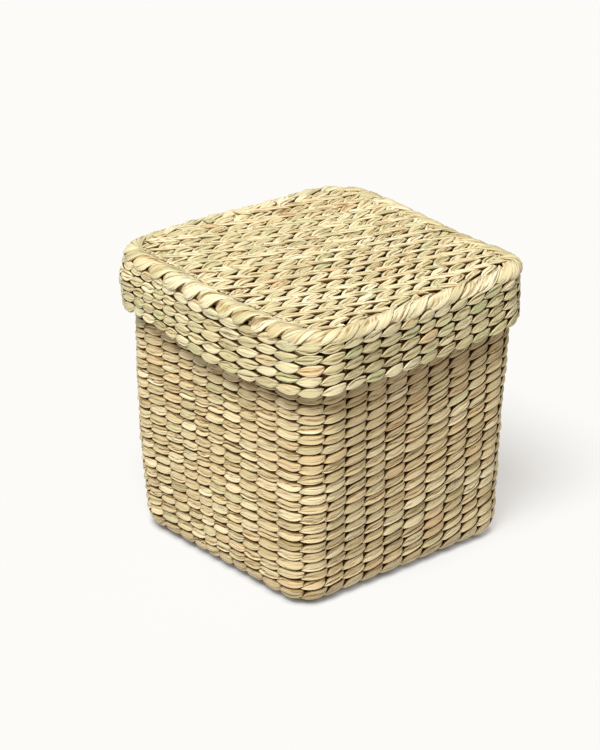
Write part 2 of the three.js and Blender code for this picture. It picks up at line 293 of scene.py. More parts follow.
# One of the two strands of a twined course, in along, up and out. Its stitches lie over one stake
# and under the next, as the shape's tables say, and tilt so that they lap over the course below.
def twinedStrand(style, places, wrap, lay, phaseShift, rng):
    count = len(places)
    closed = wrap is not None
    place = (np.arange(count)[:, None] + stationShares[None, :]).ravel()
    stitch = np.floor(place + 0.5).astype(int)
    share = place - stitch
    before = places[-1] - wrap if closed else 2 * places[0] - places[1]
    after = places[0] + wrap if closed else 2 * places[-1] - places[-2]
    along = np.interp(place, np.arange(-1, count + 1), np.concatenate([[before], places, [after]]))
    turning = np.sin(2 * math.pi * along / wrap) if closed else 0
    outside = (stitch + phaseShift) % 2 == 0
    stitch = stitch % count
    shape = style["shape"]
    depth = np.where(outside, np.interp(share, shape["outPlaces"], shape["out"]),
                     np.interp(share, shape["outPlaces"], shape["insideOut"]))

    # A factor near 1, and a shift near 0, that drift from stitch to stitch.
    def varied(spread):
        return between(1 + rng.uniform(-spread, spread, count), place, closed)

    def shifted(spread):
        return between(rng.normal(0, spread, count), place, closed)

    skewed = share + shifted(style["skew"]) * (1 - (2 * share) ** 2)
    edges = [np.where(outside, np.interp(skewed, shape["places"], shape[edge]),
                      np.interp(skewed, shape["insidePlaces"], shape["inside" + edge.capitalize()]))
             for edge in ("lower", "upper")]
    slant = style["slant"] + style["slantVary"] * turning
    up = lay * ((edges[0] + edges[1]) / 2 + slant * share * (2 * outside - 1)) + shifted(style["stray"])
    width = (edges[1] - edges[0]) * varied(style["vary"]) * style["snug"]
    thick = style["thick"] * varied(style["thickVary"])
    out = style["swing"] * depth * varied(style["swingVary"])
    lap = np.where(depth > 0, style["lap"], style["lapInside"]) * depth
    tilt = np.radians(lap + shifted(style["tiltStray"]))[:, None]

    grooves, lines = creaseGrooves(style, place, closed, count, rng)
    face, edge, worn = strandSection(style, thick, grooves)
    across = width[:, None] / 2 * acrossShares[None, :]
    gridUp = up[:, None] - across * np.cos(tilt) + face * np.sin(tilt)
    gridOut = out[:, None] + across * np.sin(tilt) + face * np.cos(tilt)

    tone = strandTone(style, count, rng)[stitch]
    # Painted warm shade: the hue drifts towards peach on the right-hand wall, which lies in shade.
    if closed:
        tone[:, 1] += style["hueRound"] * np.cos(2 * math.pi * along / wrap)
    # Painted shade: dark along the upper and lower edges, where a strand dives at a crossing, and along
    # the crease lines.
    dive = clamp((style["diveStart"] - depth) / style["diveFade"])[:, None]
    age = style["dark"] * edge + style["diveDark"] * dive + lines
    return {"along": along[:, None] + 0 * gridUp, "up": gridUp, "out": gridOut, "closed": closed,
            "tone": pointTone(style, tone, worn, age)}


# Steps of the slow walks of light and hue along a strand, and what each stitch has of its own.
toneSteps = {"light": (0.35, 0.7), "hue": (0.4, 0.8)}


# Tone of each stitch: light and hue are the middle value plus half the walk and the stitch's own.
# Hue runs from green through straw to peach; the third value shifts the fibre pattern.
def strandTone(style, count, rng):
    def walked(vary, step, own):
        walk = np.cumsum(rng.normal(0, step, count))
        walk = walk - np.linspace(0, walk[-1], count)
        return vary * (0.5 * walk + rng.normal(0, own, count))

    light = clamp(0.5 + walked(style["toneVary"], *toneSteps["light"]))
    hue = clamp(0.5 + style["hue"] + walked(style["hueVary"], *toneSteps["hue"]))
    return np.stack([light, hue, rng.uniform(0, 1, count)], -1)


# Tone of every point: its stitch's, paler along the lip as a painted highlight, and how brown it is with
# painted shade.
def pointTone(style, stitchTone, worn, age):
    tone = stitchTone[:, None, :] + 0 * age[:, :, None]
    tone[:, :, 0] = clamp(tone[:, :, 0] + style["wornEdge"] * worn)
    return np.concatenate([tone, clamp(age)[:, :, None]], 2)


# The stations of an open strand that lie between two places.
def cutStrand(strand, low, high):
    middle = strand["along"][:, 0]
    kept = (middle >= low) & (middle <= high)
    return {**strand, **{key: strand[key][kept] for key in ("along", "up", "out", "tone")}}


# A mesh from strands, each a grid of points: rows along it, columns round it. An open strand
# ends in fans. Faces are turned over where the enclosed volume is negative.
def strandMesh(name, strands):
    points, tones, corners, sizes, uvs = [], [], [], [], []
    offset = 0
    for strand in strands:
        grid = strand["points"]
        rows, columns = grid.shape[:2]
        index = np.arange(rows * columns).reshape(rows, columns)
        nextRow = np.roll(index, -1, 0) if strand["closed"] else index[1:]
        here = index if strand["closed"] else index[:-1]
        quads = np.stack([here, nextRow, np.roll(nextRow, -1, 1), np.roll(here, -1, 1)], -1)
        flatPoints = grid.reshape(-1, 3)
        quadPoints = flatPoints[quads.reshape(-1, 4)]
        normal = np.cross(quadPoints[:, 2] - quadPoints[:, 0], quadPoints[:, 3] - quadPoints[:, 1])
        inward = np.sum(normal * (quadPoints.mean(1) - flatPoints.mean(0))) < 0
        length = np.linalg.norm(np.diff(grid[:, 0], axis=0), axis=1)
        travelled = np.concatenate([[0], np.cumsum(length)])
        if strand["closed"]:
            travelled = np.append(travelled, 2 * travelled[-1] - travelled[-2])
        girth = np.linalg.norm(np.roll(grid, -1, 1) - grid, axis=2).max(0)
        around = np.concatenate([[0], np.cumsum(girth)])
        rowUv, columnUv = np.indices(here.shape)
        quadUv = np.stack([np.stack([travelled[rowUv + far], around[columnUv + on]], -1)
                           for far, on in ((0, 0), (1, 0), (1, 1), (0, 1))], -2)
        quads, quadUv = quads.reshape(-1, 4), quadUv.reshape(-1, 4, 2)
        if inward:
            quads, quadUv = quads[:, ::-1], quadUv[:, ::-1]
        points.append(flatPoints)
        tones.append(strand["tone"].reshape(-1, 4))
        corners.append(quads.ravel() + offset)
        sizes.append(np.full(len(quads), 4))
        uvs.append(quadUv.reshape(-1, 2))
        for row, last in () if strand["closed"] else ((0, False), (rows - 1, True)):
            ring = index[row] + offset
            fan = np.stack([ring, np.roll(ring, -1), np.full(columns, offset + index.size + last)], -1)
            points.append(grid[row].mean(0)[None, :])
            tones.append(strand["tone"][row, :1])
            corners.append((fan[:, [1, 0, 2]] if last == inward else fan).ravel())
            sizes.append(np.full(columns, 3))
            uvs.append(np.zeros((fan.size, 2)) + travelled[row])
        offset += index.size + (0 if strand["closed"] else 2)
    points = np.concatenate(points) * metresPerMm
    corners, sizes = np.concatenate(corners), np.concatenate(sizes)
    mesh = bpy.data.meshes.new(name)
    mesh.vertices.add(len(points))
    mesh.vertices.foreach_set("co", points.ravel().astype(np.float32))
    mesh.loops.add(len(corners))
    mesh.loops.foreach_set("vertex_index", corners.astype(np.int32))
    mesh.polygons.add(len(sizes))
    mesh.polygons.foreach_set("loop_start", (np.cumsum(sizes) - sizes).astype(np.int32))
    mesh.polygons.foreach_set("use_smooth", np.ones(len(sizes), bool))
    mesh.update(calc_edges=True)
    mesh.uv_layers.new(name="strandUv")
    mesh.uv_layers["strandUv"].data.foreach_set("uv", np.concatenate(uvs).ravel().astype(np.float32))
    tone = mesh.attributes.new("strandTone", "FLOAT_COLOR", "POINT")
    tone.data.foreach_set("color", np.concatenate(tones).ravel().astype(np.float32))
    mesh.validate()
    return mesh


# An object that holds its data, linked into the scene.
def addObject(name, data):
    item = bpy.data.objects.new(name, data)
    bpy.context.scene.collection.objects.link(item)
    return item


# A piece made of strands, named after the first of the CAD nodes that it stands in for.
def addPiece(prefix, strands, nodes, body, material):
    name = prefix + nodes[0]
    piece = addObject(name, strandMesh(name, strands))
    piece.data.materials.append(material)
    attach(piece, body)
    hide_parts(*nodes)


# Materials

# The linear colour of an sRGB hex text.
def hexColour(text):
    channels = [int(text[i:i + 2], 16) / 255 for i in (1, 3, 5)]
    linear = [c / 12.92 if c <= 0.04045 else ((c + 0.055) / 1.055) ** 2.4 for c in channels]
    return (*linear, 1.0)


# A shader node with its settings and links, by the name or number of its inputs.
def addNode(tree, kind, settings=None, links=None):
    node = tree.nodes.new("ShaderNode" + kind)
    for key, value in (settings or {}).items():
        if isinstance(key, int) or key in node.inputs:
            node.inputs[key].default_value = value
        else:
            setattr(node, key, value)
    for key, source in (links or {}).items():
        tree.links.new(source, node.inputs[key])
    return node


# Gives a colour ramp its stops, each a position and a colour.
def setRamp(node, stops):
    ramp = node.color_ramp
    while len(ramp.elements) > 1:
        ramp.elements.remove(ramp.elements[-1])
    ramp.elements[0].position, ramp.elements[0].color = stops[0][0], hexColour(stops[0][1])
    for position, colour in stops[1:]:
        ramp.elements.new(position).color = hexColour(colour)


# Dried rush, split and flattened: a satin skin over lengthwise fibres, straw with green and
# peach stitches, and painted shade in brown at creases, edges and crossings.
rush = {
    "darkStraw": "#ab986d",
    "straw": "#c6b286",
    "paleStraw": "#dfd1a8",
    "green": "#aeaf7f",
    "peach": "#ceaa7b",
    # The next two colours are painted shade: a brown and a near black, where edges, crossings and creases
    # would lie in shade; the dark splits use the near black too.
    "worn": "#8c642c",
    "age": "#2e1a08",
    "fibreMm": 0.5,       # across one fibre, drawn coarser than real so that it shows
    "fibreLengthMm": 16,
    "splitMm": 0.9,       # between the dark splits along a strand
    "splitLengthMm": 11,
    "splitDark": 0.5,
    "patternShift": 40.0,  # between two stitches' fibres
    "noiseRoughness": 0.6,
    "roughness": 0.46,
    "bumpMm": 0.16,
    "bumpStrength": 0.9,
    # What a value's range becomes: from, to, share from, share to.
    "greenRange": (0.42, 0.0, 0.0, 0.8),
    "peachRange": (0.6, 1.0, 0.0, 0.65),
    "splitRange": (0.37, 0.31, 0.0),
    "wornRange": (0.05, 0.5, 0.0, 0.8),
    "ageRange": (0.4, 1.0, 0.0, 0.9),
    "fibreRange": (0.3, 0.7, 0.76, 1.2),
    "splitBump": (0.3, 0.42, 0.0, 1.2),
    "sheenRange": (0.0, 0.6, 0.45, 0.05),
}


def rushMaterial(name, look):
    material = bpy.data.materials.new(name)
    material.use_nodes = True
    tree = material.node_tree
    tree.nodes.clear()
    tone = addNode(tree, "Attribute", {"attribute_name": "strandTone"})
    parts = addNode(tree, "SeparateColor", links={"Color": tone.outputs["Color"]})
    uv = addNode(tree, "UVMap", {"uv_map": "strandUv"})
    uvParts = addNode(tree, "SeparateXYZ", links={"Vector": uv.outputs["UV"]})
    # The tone's alpha says how strongly shade is painted on a point.
    hue, age = parts.outputs["Green"], tone.outputs["Alpha"]

    def maths(operation, value, source):
        return addNode(tree, "Math", {"operation": operation, 1: value}, {0: source}).outputs[0]

    shift = maths("MULTIPLY", look["patternShift"], parts.outputs["Blue"])

    def streaks(lengthMm, acrossMm, detail):
        at = addNode(tree, "CombineXYZ", links={
            "X": maths("DIVIDE", lengthMm, uvParts.outputs["X"]),
            "Y": maths("DIVIDE", acrossMm, uvParts.outputs["Y"]), "Z": shift})
        return addNode(tree, "TexNoise", {
            "Scale": 1.0, "Detail": detail, "Roughness": look["noiseRoughness"]},
            {"Vector": at.outputs[0]}).outputs[0]

    def mixed(share, first, second):
        return addNode(tree, "Mix", {"data_type": "RGBA", 7: hexColour(second)},
                       {0: share, 6: first}).outputs[2]

    def ranged(source, low, high, toLow, toHigh):
        return addNode(tree, "MapRange", {"From Min": low, "From Max": high, "To Min": toLow,
                                                    "To Max": toHigh}, {"Value": source}).outputs[0]

    fibres = streaks(look["fibreLengthMm"], look["fibreMm"], 2.0)
    splits = streaks(look["splitLengthMm"], look["splitMm"], 1.0)
    light = addNode(tree, "ValToRGB", links={"Fac": parts.outputs["Red"]})
    setRamp(light, [(0.0, look["darkStraw"]), (0.5, look["straw"]), (1.0, look["paleStraw"])])
    colour = mixed(ranged(hue, *look["greenRange"]), light.outputs["Color"], look["green"])
    colour = mixed(ranged(hue, *look["peachRange"]), colour, look["peach"])
    # Dark splits along the fibres, then painted shade: brown first, near black where it is strongest;
    # painted shade is also less glossy.
    colour = mixed(ranged(splits, *look["splitRange"], look["splitDark"]), colour, look["age"])
    colour = mixed(ranged(age, *look["wornRange"]), colour, look["worn"])
    colour = mixed(ranged(age, *look["ageRange"]), colour, look["age"])
    streaked = addNode(tree, "VectorMath", {"operation": "SCALE"},
                       {0: colour, "Scale": ranged(fibres, *look["fibreRange"])})
    height = addNode(tree, "Math", {"operation": "ADD"},
                     {0: fibres, 1: ranged(splits, *look["splitBump"])})
    bump = addNode(tree, "Bump", {
        "Strength": look["bumpStrength"], "Distance": look["bumpMm"] * metresPerMm},
        {"Height": height.outputs[0]})
    shader = addNode(tree, "BsdfPrincipled", {"Roughness": look["roughness"], "IOR": 1.45},
                     {"Base Color": streaked.outputs[0], "Normal": bump.outputs[0],
                      "Specular IOR Level": ranged(age, *look["sheenRange"])})
    addNode(tree, "OutputMaterial", links={"Surface": shader.outputs[0]})
    return material


wallRush = rushMaterial("dried rush, twined walls", rush)
paleRush = {**rush, "darkStraw": "#ada075", "straw": "#c7b98b", "paleStraw": "#e2d7b3"}
lidRush = rushMaterial("dried rush, twined lid", paleRush)
topRush = rushMaterial("bleached rush, lid top", {
    **paleRush, "darkStraw": "#b6aa80", "straw": "#d0c398", "paleStraw": "#e9dfbd"})
borderRush = rushMaterial("broad dried rush, borders",
                          {**paleRush, "straw": "#c8ba8f", "paleStraw": "#e0d4b0", "splitDark": 0.6})
# The stakes' straw is darker as painted shade, since they show only deep in the gaps.
stakeRush = rushMaterial("split rush, stakes", {**rush, "straw": "#a3855a", "darkStraw": "#83683f"})
print("materials made")


# Walls

# A stitch over a stake, from crossing to crossing: how far its lower and upper edges lie from its
# course's middle, in mm, and how far out it lies as a share of its swing; then the same under the
# next stake, where it ends and the next stitch comes out, low and in front.
wallStitch = {
    "places": (-0.5, -0.43, -0.35, -0.2, 0, 0.2, 0.35, 0.43, 0.5),
    "lower": (-2.25, -2.35, -2.45, -2.5, -2.4, -2.1, -1.6, -1.2, -0.8),
    "upper": (-0.3, 1.05, 1.8, 2.3, 2.45, 2.5, 2.6, 2.6, 2.4),
    "insidePlaces": (-0.5, -0.41, -0.25, 0.2, 0.36, 0.5),
    "insideLower": (-0.8, 1.5, -2.2, -2.2, -2.25, -2.25),
    "insideUpper": (2.4, 2.4, 2.2, 2.2, -1.85, -0.3),
    "outPlaces": (-0.5, -0.465, -0.41, -0.32, -0.19, 0.11, 0.25, 0.36, 0.44, 0.5),
    "out": (0.84, 0.9, 0.95, 0.99, 1, 1, 0.95, 0.85, 0.7, 0.5),
    "insideOut": (0.5, 0.2, -0.3, -0.8, -1, -1, -0.7, 0.1, 0.65, 0.84),
}
wallStyle = {
    "shape": wallStitch,
    "thick": 1.35,
    "swing": 1.75,        # from the middle of the wall to the strand's middle over a stake
    "darkEdge": 0.42,     # share of half a strand painted dark at its upper edge, as painted shade under the course above
    "dark": 1.0,          # and how dark
    "diveDark": 0.8,      # and where a strand dives at a crossing
    "lap": 9.0,           # degrees that a course leans over the one below
    # lip is the height of the ridge above the lower edge; the last value paints it pale, a painted
    # highlight.
    "lapInside": 3.0, "lip": 0.12, "wornEdge": 0.45,
    "snug": 1.0,          # how far the strands fill their course
    "vary": 0.07, "stray": 0.12, "tiltStray": 4.0,
    "slant": 0.8,         # more rise from a stitch's low end to its high one, in mm
    "slantVary": 1.3,     # and how much that changes round the box, most on the left-hand wall
    "skew": 0.03, "thickVary": 0.12, "swingVary": 0.08,
    "jitter": 0.55,       # mm that a stitch strays along its course
    "lean": 0.04,         # mm that the columns lean along the wall for each mm down it
    "leanVary": -0.035,
    "diveStart": 0.62, "diveFade": 0.8,  # share of the swing below which a strand is painted darker, as painted shade
    "seed": 100,          # of the random draws; each course adds its number
    "creases": 3, "creaseDepth": 0.5, "toneVary": 0.21, "hue": 0.02,
    "hueRound": 0.1,      # more peach on the right-hand wall, as painted warm shade, and more green across from it
    "hueVary": 0.15,
}


# A twined course round a shell. Its stitches' columns lean along the wall on the way down, by
# lean on the right-hand wall and by lean less leanVary on the left-hand one.
def courseStrands(shell, style, up, course):
    rng = np.random.default_rng(style["seed"] + course)
    sign = -1 if shell["turned"] else 1
    places = shell["stitchPlaces"]
    leaning = style["lean"] + style["leanVary"] * np.sin(2 * math.pi * places / shell["length"])
    drop = (overallHeight / 2 - up) if sign > 0 else up - skirtMiddle
    places = places + leaning * drop + rng.normal(0, style["jitter"], len(places))
    strands = []
    for phaseShift in (0, 1):
        strand = twinedStrand(style, places, shell["length"], 1, phaseShift, rng)
        points = shellPoint(shell, strand["along"], up + sign * strand["up"], strand["out"])
        strands.append({**strand, "points": shell["settle"](points)})
    return strands


# One piece of courses, each half a pitch past its number from the start.
def addCourses(nodes, courses, start, pitch, shell, style, body, material):
    strands = []
    for course in courses:
        strands += courseStrands(shell, style, start + (course + 0.5) * pitch, course)
    addPiece("woven_", strands, nodes, body, material)


coursesPerBand, edgeCourses = 3, 2
wallBands = nodesOf("wall_band_")
wallStart = boxMm(wallBands[0])[0][2]
wallEnd = boxMm(wallBands[-1])[1][2]
coursePitch = (wallEnd - wallStart) / len(wallBands) / coursesPerBand
skirtTop = overallHeight - boxMm("skirt_band_1")[1][2] - 1.0  # tucked up under the border's leaves
skirtEnd = overallHeight - boxMm("skirt_hem")[0][2]
skirtMiddle = (skirtTop + skirtEnd) / 2
for band, node in enumerate(wallBands):
    courses = range(band * coursesPerBand, (band + 1) * coursesPerBand)
    addCourses([node], courses, wallStart, coursePitch, bodyShell, wallStyle, "box_body",
               wallRush)

# Courses carry the weave round the bottom edge, outside and inside the stakes' bends.
addCourses(["base_border", "base_lining"], range(edgeCourses), wallStart, -coursePitch, bodyShell,
           {**wallStyle, "seed": 90}, "box_body", wallRush)
print("wall courses made")


# Skirt

# The skirt's stitches are plumper, and pointed at both ends.
skirtStitch = {
    **wallStitch,
    "places": (-0.5, -0.4, -0.25, -0.1, 0.05, 0.2, 0.35, 0.45, 0.5),
    "lower": (-1.9, -2.3, -2.6, -2.65, -2.5, -2.15, -1.3, -0.4, 0.1),
    "upper": (-0.6, 0.6, 1.75, 2.4, 2.65, 2.7, 2.5, 2.2, 1.9),
    "insideLower": (0.1, 1.0, -2.2, -2.2, -1.9, -1.9),
    "insideUpper": (1.9, 1.9, 2.2, 2.2, -1.5, -0.6),
}
skirtStyle = {**wallStyle, "shape": skirtStitch, "thick": 2.1, "swing": 1.6, "lap": 4.0, "vary": 0.1,
              "darkEdge": 0.17, "diveDark": 0.6, "slant": -0.2, "slantVary": 0.8, "hue": -0.04,
              "hueRound": 0.0, "hueVary": 0.2, "lean": 0.15, "leanVary": 0.12, "seed": 200}
skirtCourses = {"skirt_band_1": (0, 1), "skirt_band_2": (2, 3), "skirt_hem": (4,)}
skirtPitch = (skirtEnd - skirtTop) / sum(len(courses) for courses in skirtCourses.values())
for node, courses in skirtCourses.items():
    addCourses([node], courses, skirtTop, skirtPitch, lidShell, skirtStyle, "lid", lidRush)
print("skirt made")


# Stakes

# A stake lies at one place on the floor and, as it climbs, drifts to its stitches' place on each
# wall, where it fills the room from crossing to crossing.
stakeStyle = {
    "filled": 1.06,         # its width as a share of that room, and of the pitch on the floor
    "filledOnFloor": 0.5,
    "thick": 0.9,
    "climb": 12.0,          # mm of height over which it drifts
    "pastFlat": 1,          # mm that it may lie past the floor's straight part
    "own": 0.1,             # mm within which a crossing is its own and no neighbour's
    # A stake's light and hue; the low light is painted shade.
    "tone": (0.3, 0.5), "sectionPoints": 10, "legStations": 21,
    "stations": (8, 6, 14),  # over half the floor, round the bend and up the wall
}
# A set of stakes: its two walls' quarter and direction round the shell, the low end's first, and
# its places along a wall. It leans as the walls' stitches do.
# Each set is also painted darker, as painted shade, since its stakes show only in the gaps between
# stitches.
bodyStakes = {
    "shell": bodyShell, "stitches": wallStyle, "sides": ((2, -1), (0, 1)), "pitch": 10.6,
    "places": (shellSizes["cornerStake"], *shellSizes["bodyRightWall"][:-1]), "top": rimTop - 4,
    "age": 0.6, "seed": 600}
lidStakes = {
    **bodyStakes, "shell": lidShell, "stitches": skirtStyle, "pitch": 8.5,
    "places": shellSizes["lidRightWall"][:-1], "top": skirtEnd - 2, "age": 0.3, "seed": 610}
legSides = {"sides": ((3, 1), (1, -1))}
bodyLegs = {**bodyStakes, **legSides, "places": shellSizes["bodyLeftWall"][:-1], "seed": 660}
lidLegs = {**lidStakes, **legSides, "places": shellSizes["lidLeftWall"], "seed": 640}


# The two edges of a stake's room across a wall, halfway to its neighbours.
def stakeRoom(shell, quarters, direction, place):
    gaps = shell["stitchPlaces"] - quarters * shell["quarter"] - direction * place
    gaps = (gaps + shell["length"] / 2) % shell["length"] - shell["length"] / 2
    own = stakeStyle["own"]
    room = np.array([gaps[gaps < -own].max(), gaps[gaps > own].min()]) / 2
    return place + direction * room[::direction]


# A flat strip across the floor along X, round both bends and up both walls, with an oval
# section. Round a corner it follows the corner's arc.
def stakeStrand(look, index, rng):
    shell, style, stitches = look["shell"], stakeStyle, look["stitches"]
    floorCount, bendCount, wallCount = style["stations"]
    bend = shell["edge"] - wallThickness / 2
    floorEnd = shell["half"] - shell["edge"]
    bendPart = np.linspace(0, math.pi / 2, bendCount, endpoint=False)
    reach = np.concatenate([np.linspace(0, floorEnd, floorCount, endpoint=False),
                            floorEnd + bend * np.sin(bendPart), np.full(wallCount, floorEnd + bend)])
    height = np.concatenate([np.full(floorCount, wallThickness / 2),
                             shell["edge"] - bend * np.cos(bendPart),
                             np.linspace(shell["edge"], look["top"], wallCount)])

    def mirrored(values, sign):
        return np.concatenate([sign * values[:0:-1], values])

    slopeReach, slopeHeight = np.gradient(reach), np.gradient(height)
    size = np.hypot(slopeReach, slopeHeight)
    normalReach, normalHeight = mirrored(slopeHeight / size, -1), mirrored(-slopeReach / size, 1)
    reach, height = mirrored(reach, -1), mirrored(height, 1)
    angle = np.linspace(0, 2 * math.pi, style["sectionPoints"], endpoint=False)[None, :]
    thick = style["thick"] / 2 * np.sign(np.sin(angle)) * np.abs(np.sin(angle)) ** 0.5
    x = reach[:, None] + normalReach[:, None] * thick
    z = height[:, None] + normalHeight[:, None] * thick

    drop = height - skirtMiddle if shell["turned"] else overallHeight / 2 - height
    onWall, wideOnWall = [], []
    for quarters, direction in look["sides"]:
        place = look["places"][index] if direction > 0 else -look["places"][-1 - index]
        low, high = stakeRoom(shell, quarters, direction, place)
        lean = stitches["lean"] + stitches["leanVary"] * math.sin(quarters * math.pi / 2)
        onWall.append((low + high) / 2 + direction * lean * drop)
        wideOnWall.append((high - low) * style["filled"])
    onWall, wideOnWall = np.where(reach < 0, *onWall), np.where(reach < 0, *wideOnWall)
    edge = shell["flat"] + style["pastFlat"]
    onFloor = np.clip(centred(index, len(look["places"]), look["pitch"]), -edge, edge)
    wideOnFloor = look["pitch"] * style["filledOnFloor"]
    climbed = clamp((height - shell["edge"] / 2) / style["climb"])[:, None]
    along = onFloor + (onWall[:, None] - onFloor) * climbed
    along = along + (wideOnFloor + (wideOnWall[:, None] - wideOnFloor) * climbed) / 2 * np.cos(angle)
    beyond = np.maximum(np.abs(along) - shell["flat"], 0)
    turn = beyond / shell["middleRadius"]
    radius = climbed * np.maximum(np.abs(x) - shell["flat"], 0)
    x = x - np.sign(x) * radius * (1 - np.cos(turn))
    y = np.minimum(np.abs(along), shell["flat"]) + (1 - climbed) * beyond
    y = np.sign(along) * (y + radius * np.sin(turn))
    if shell["turned"]:
        z = overallHeight - z
    tone = np.tile(np.array([*style["tone"], rng.uniform(), look["age"]]), (len(reach), angle.shape[1], 1))
    return {"points": np.stack([x, y, z], -1), "closed": False, "tone": tone}


# One piece for each stake of a set.
def addStakes(prefix, look, body):
    rng = np.random.default_rng(look["seed"])
    for index, node in enumerate(nodesOf(prefix)):
        strand = stakeStrand(look, index, rng)
        points = look["shell"]["settle"](strand["points"])
        addPiece("split_", [{**strand, "points": points}], [node], body, stakeRush)


# The two ends of a floor row, which turn up as stakes in the walls it meets: x and y change
# places, and only the stations from the top down to the floor are kept.
def rowLegs(look, index):
    strand = stakeStrand(look, index, np.random.default_rng(look["seed"] + index))
    points = strand["points"][..., [1, 0, 2]]
    cut = stakeStyle["legStations"]
    return [{**strand, "points": look["shell"]["settle"](points[kept]), "tone": strand["tone"][kept]}
            for kept in (slice(cut), slice(-cut, None))]


addStakes("body_stake_", bodyStakes, "box_body")
addStakes("lid_stake_", lidStakes, "lid")
print("stakes made")


# Floors: the lid's top and the box's base

# A floor's stitches are longer and slimmer, and run on beside each other past the crossings.
rowStitch = {
    "places": (-0.5, -0.35, -0.15, 0, 0.15, 0.35, 0.5),
    "lower": (-3.4, -3.1, -2.6, -2.2, -1.8, -1.1, -0.2),
    "upper": (0.2, 1.1, 1.8, 2.2, 2.6, 3.1, 3.4),
    "insidePlaces": (-0.5, -0.3, -0.18, 0, 0.18, 0.3, 0.5),
    "insideLower": (-0.2, 1.3, 0.6, -2, -3.4, -3.6, -3.4),
    "insideUpper": (3.4, 3.6, 3.4, 2, -0.6, -1.3, 0.2),
    "outPlaces": (-0.5, -0.41, -0.32, -0.19, 0, 0.19, 0.32, 0.41, 0.5),
    "out": (0.86, 0.92, 0.97, 1, 1, 1, 0.97, 0.92, 0.86),
    "insideOut": (0.86, 0.75, 0.5, -0.7, -1, -0.7, 0.5, 0.75, 0.86),
}
topStyle = {**wallStyle, "shape": rowStitch, "lap": 0.0, "lapInside": 0.0, "lip": 0.0, "wornEdge": 0.1,
            "vary": 0.16, "stray": 0.25, "slantVary": 0.0, "creases": 8, "creaseDepth": 0.45,
            "darkEdge": 0.14, "dark": 0.7, "diveDark": 0.5, "hue": 0.0, "hueRound": 0.0, "hueVary": 0.2,
            "jitter": 0.25}
baseStyle = {**topStyle, "vary": 0.08}

# The lid's rows lean to the right-hand wall on the way back, and bow a little. Spare rows fill
# the corners that the lean leaves open. Fewer than the fewest stations make no strand.
topRows = {"style": topStyle, "seed": 300, "legs": lidLegs, "pitch": 9.25, "lean": 0.25, "bow": -0.0015,
           "stitchPitch": 8.5, "stitches": 15, "half": 58, "spareRows": 2, "fewestStations": 4,
           "snugAt": (-45, -10, 12, 50), "snug": (1.2, 1.15, 0.98, 0.94), "slants": (-1.4, 0.8),
           "hueAt": (-60, -48, -36, 5, 14, 21, 30, 60),
           "hues": (0.02, 0.16, 0.0, -0.04, 0.04, 0.18, 0.02, -0.02)}
bottomRows = {**topRows, "style": baseStyle, "seed": 400, "legs": bodyLegs, "pitch": 10.25,
              "lean": 0.0, "bow": 0.0, "stitchPitch": 10.6, "stitches": 12, "half": 52.5, "spareRows": 0,
              "snugAt": (0, 1), "snug": (1.08, 1.08), "slants": (0, 0), "hueAt": (0, 1), "hues": (0, 0)}


# Where a row's middle lies in x at y.
def rowMiddle(look, offset, y):
    return offset + look["lean"] * y + look["bow"] * y ** 2


# Low and high y between which a row lies inside the floor's round corners.
def rowReach(shell, look, offset):
    y = np.linspace(-look["half"], look["half"], 400)
    x = np.abs(rowMiddle(look, offset, y))
    beyond = np.maximum(np.stack([x, np.abs(y)]) - shell["flat"], 0)
    inside = y[np.hypot(*beyond) <= look["half"] - shell["flat"]]
    return (inside.min(), inside.max()) if len(inside) else (0, 0)


# A floor row: two courses side by side that slant opposite ways, so their stitches make chevrons.
def floorRow(shell, look, offset, seed):
    rng = np.random.default_rng(seed)
    places = centred(np.arange(look["stitches"]), look["stitches"], look["stitchPitch"])
    style = {**look["style"], "snug": np.interp(offset, look["snugAt"], look["snug"])}
    style["hue"] = style["hue"] + np.interp(offset, look["hueAt"], look["hues"])
    strands = []
    for side, slant in zip((-1, 1), look["slants"]):
        style = {**style, "slant": slant}
        middle = offset + side * look["pitch"] / 4
        low, high = rowReach(shell, look, middle)
        wobble = rng.normal(0, style["jitter"], len(places))
        for phaseShift in (0, 1):
            strand = twinedStrand(style, places + wobble, None, -side, phaseShift, rng)
            strand = cutStrand(strand, low, high)
            if len(strand["along"]) < look["fewestStations"]:
                continue
            sink = wallThickness / 2 - strand["out"]
            height = overallHeight - sink if shell["turned"] else sink
            x = rowMiddle(look, middle, strand["along"]) + strand["up"]
            points = np.stack([x, strand["along"], height], -1)
            strands.append({**strand, "points": shell["settle"](points)})
    return strands


# One piece for each row of a floor, with its two legs; the outermost ones take the spare rows.
def addRows(prefix, look, body, material):
    shell, nodes = look["legs"]["shell"], nodesOf(prefix)
    for index, node in enumerate(nodes):
        first = -look["spareRows"] if index == 0 else index
        last = index + look["spareRows"] if index == len(nodes) - 1 else index
        strands = []
        for row in range(first, last + 1):
            strands += floorRow(shell, look, centred(row, len(nodes), look["pitch"]), look["seed"] + row)
        strands += rowLegs(look["legs"], index)
        addPiece("woven_", strands, [node], body, material)


addRows("lid_row_", topRows, "lid", topRush)
addRows("base_row_", bottomRows, "box_body", wallRush)
print("floors made")


# Borders

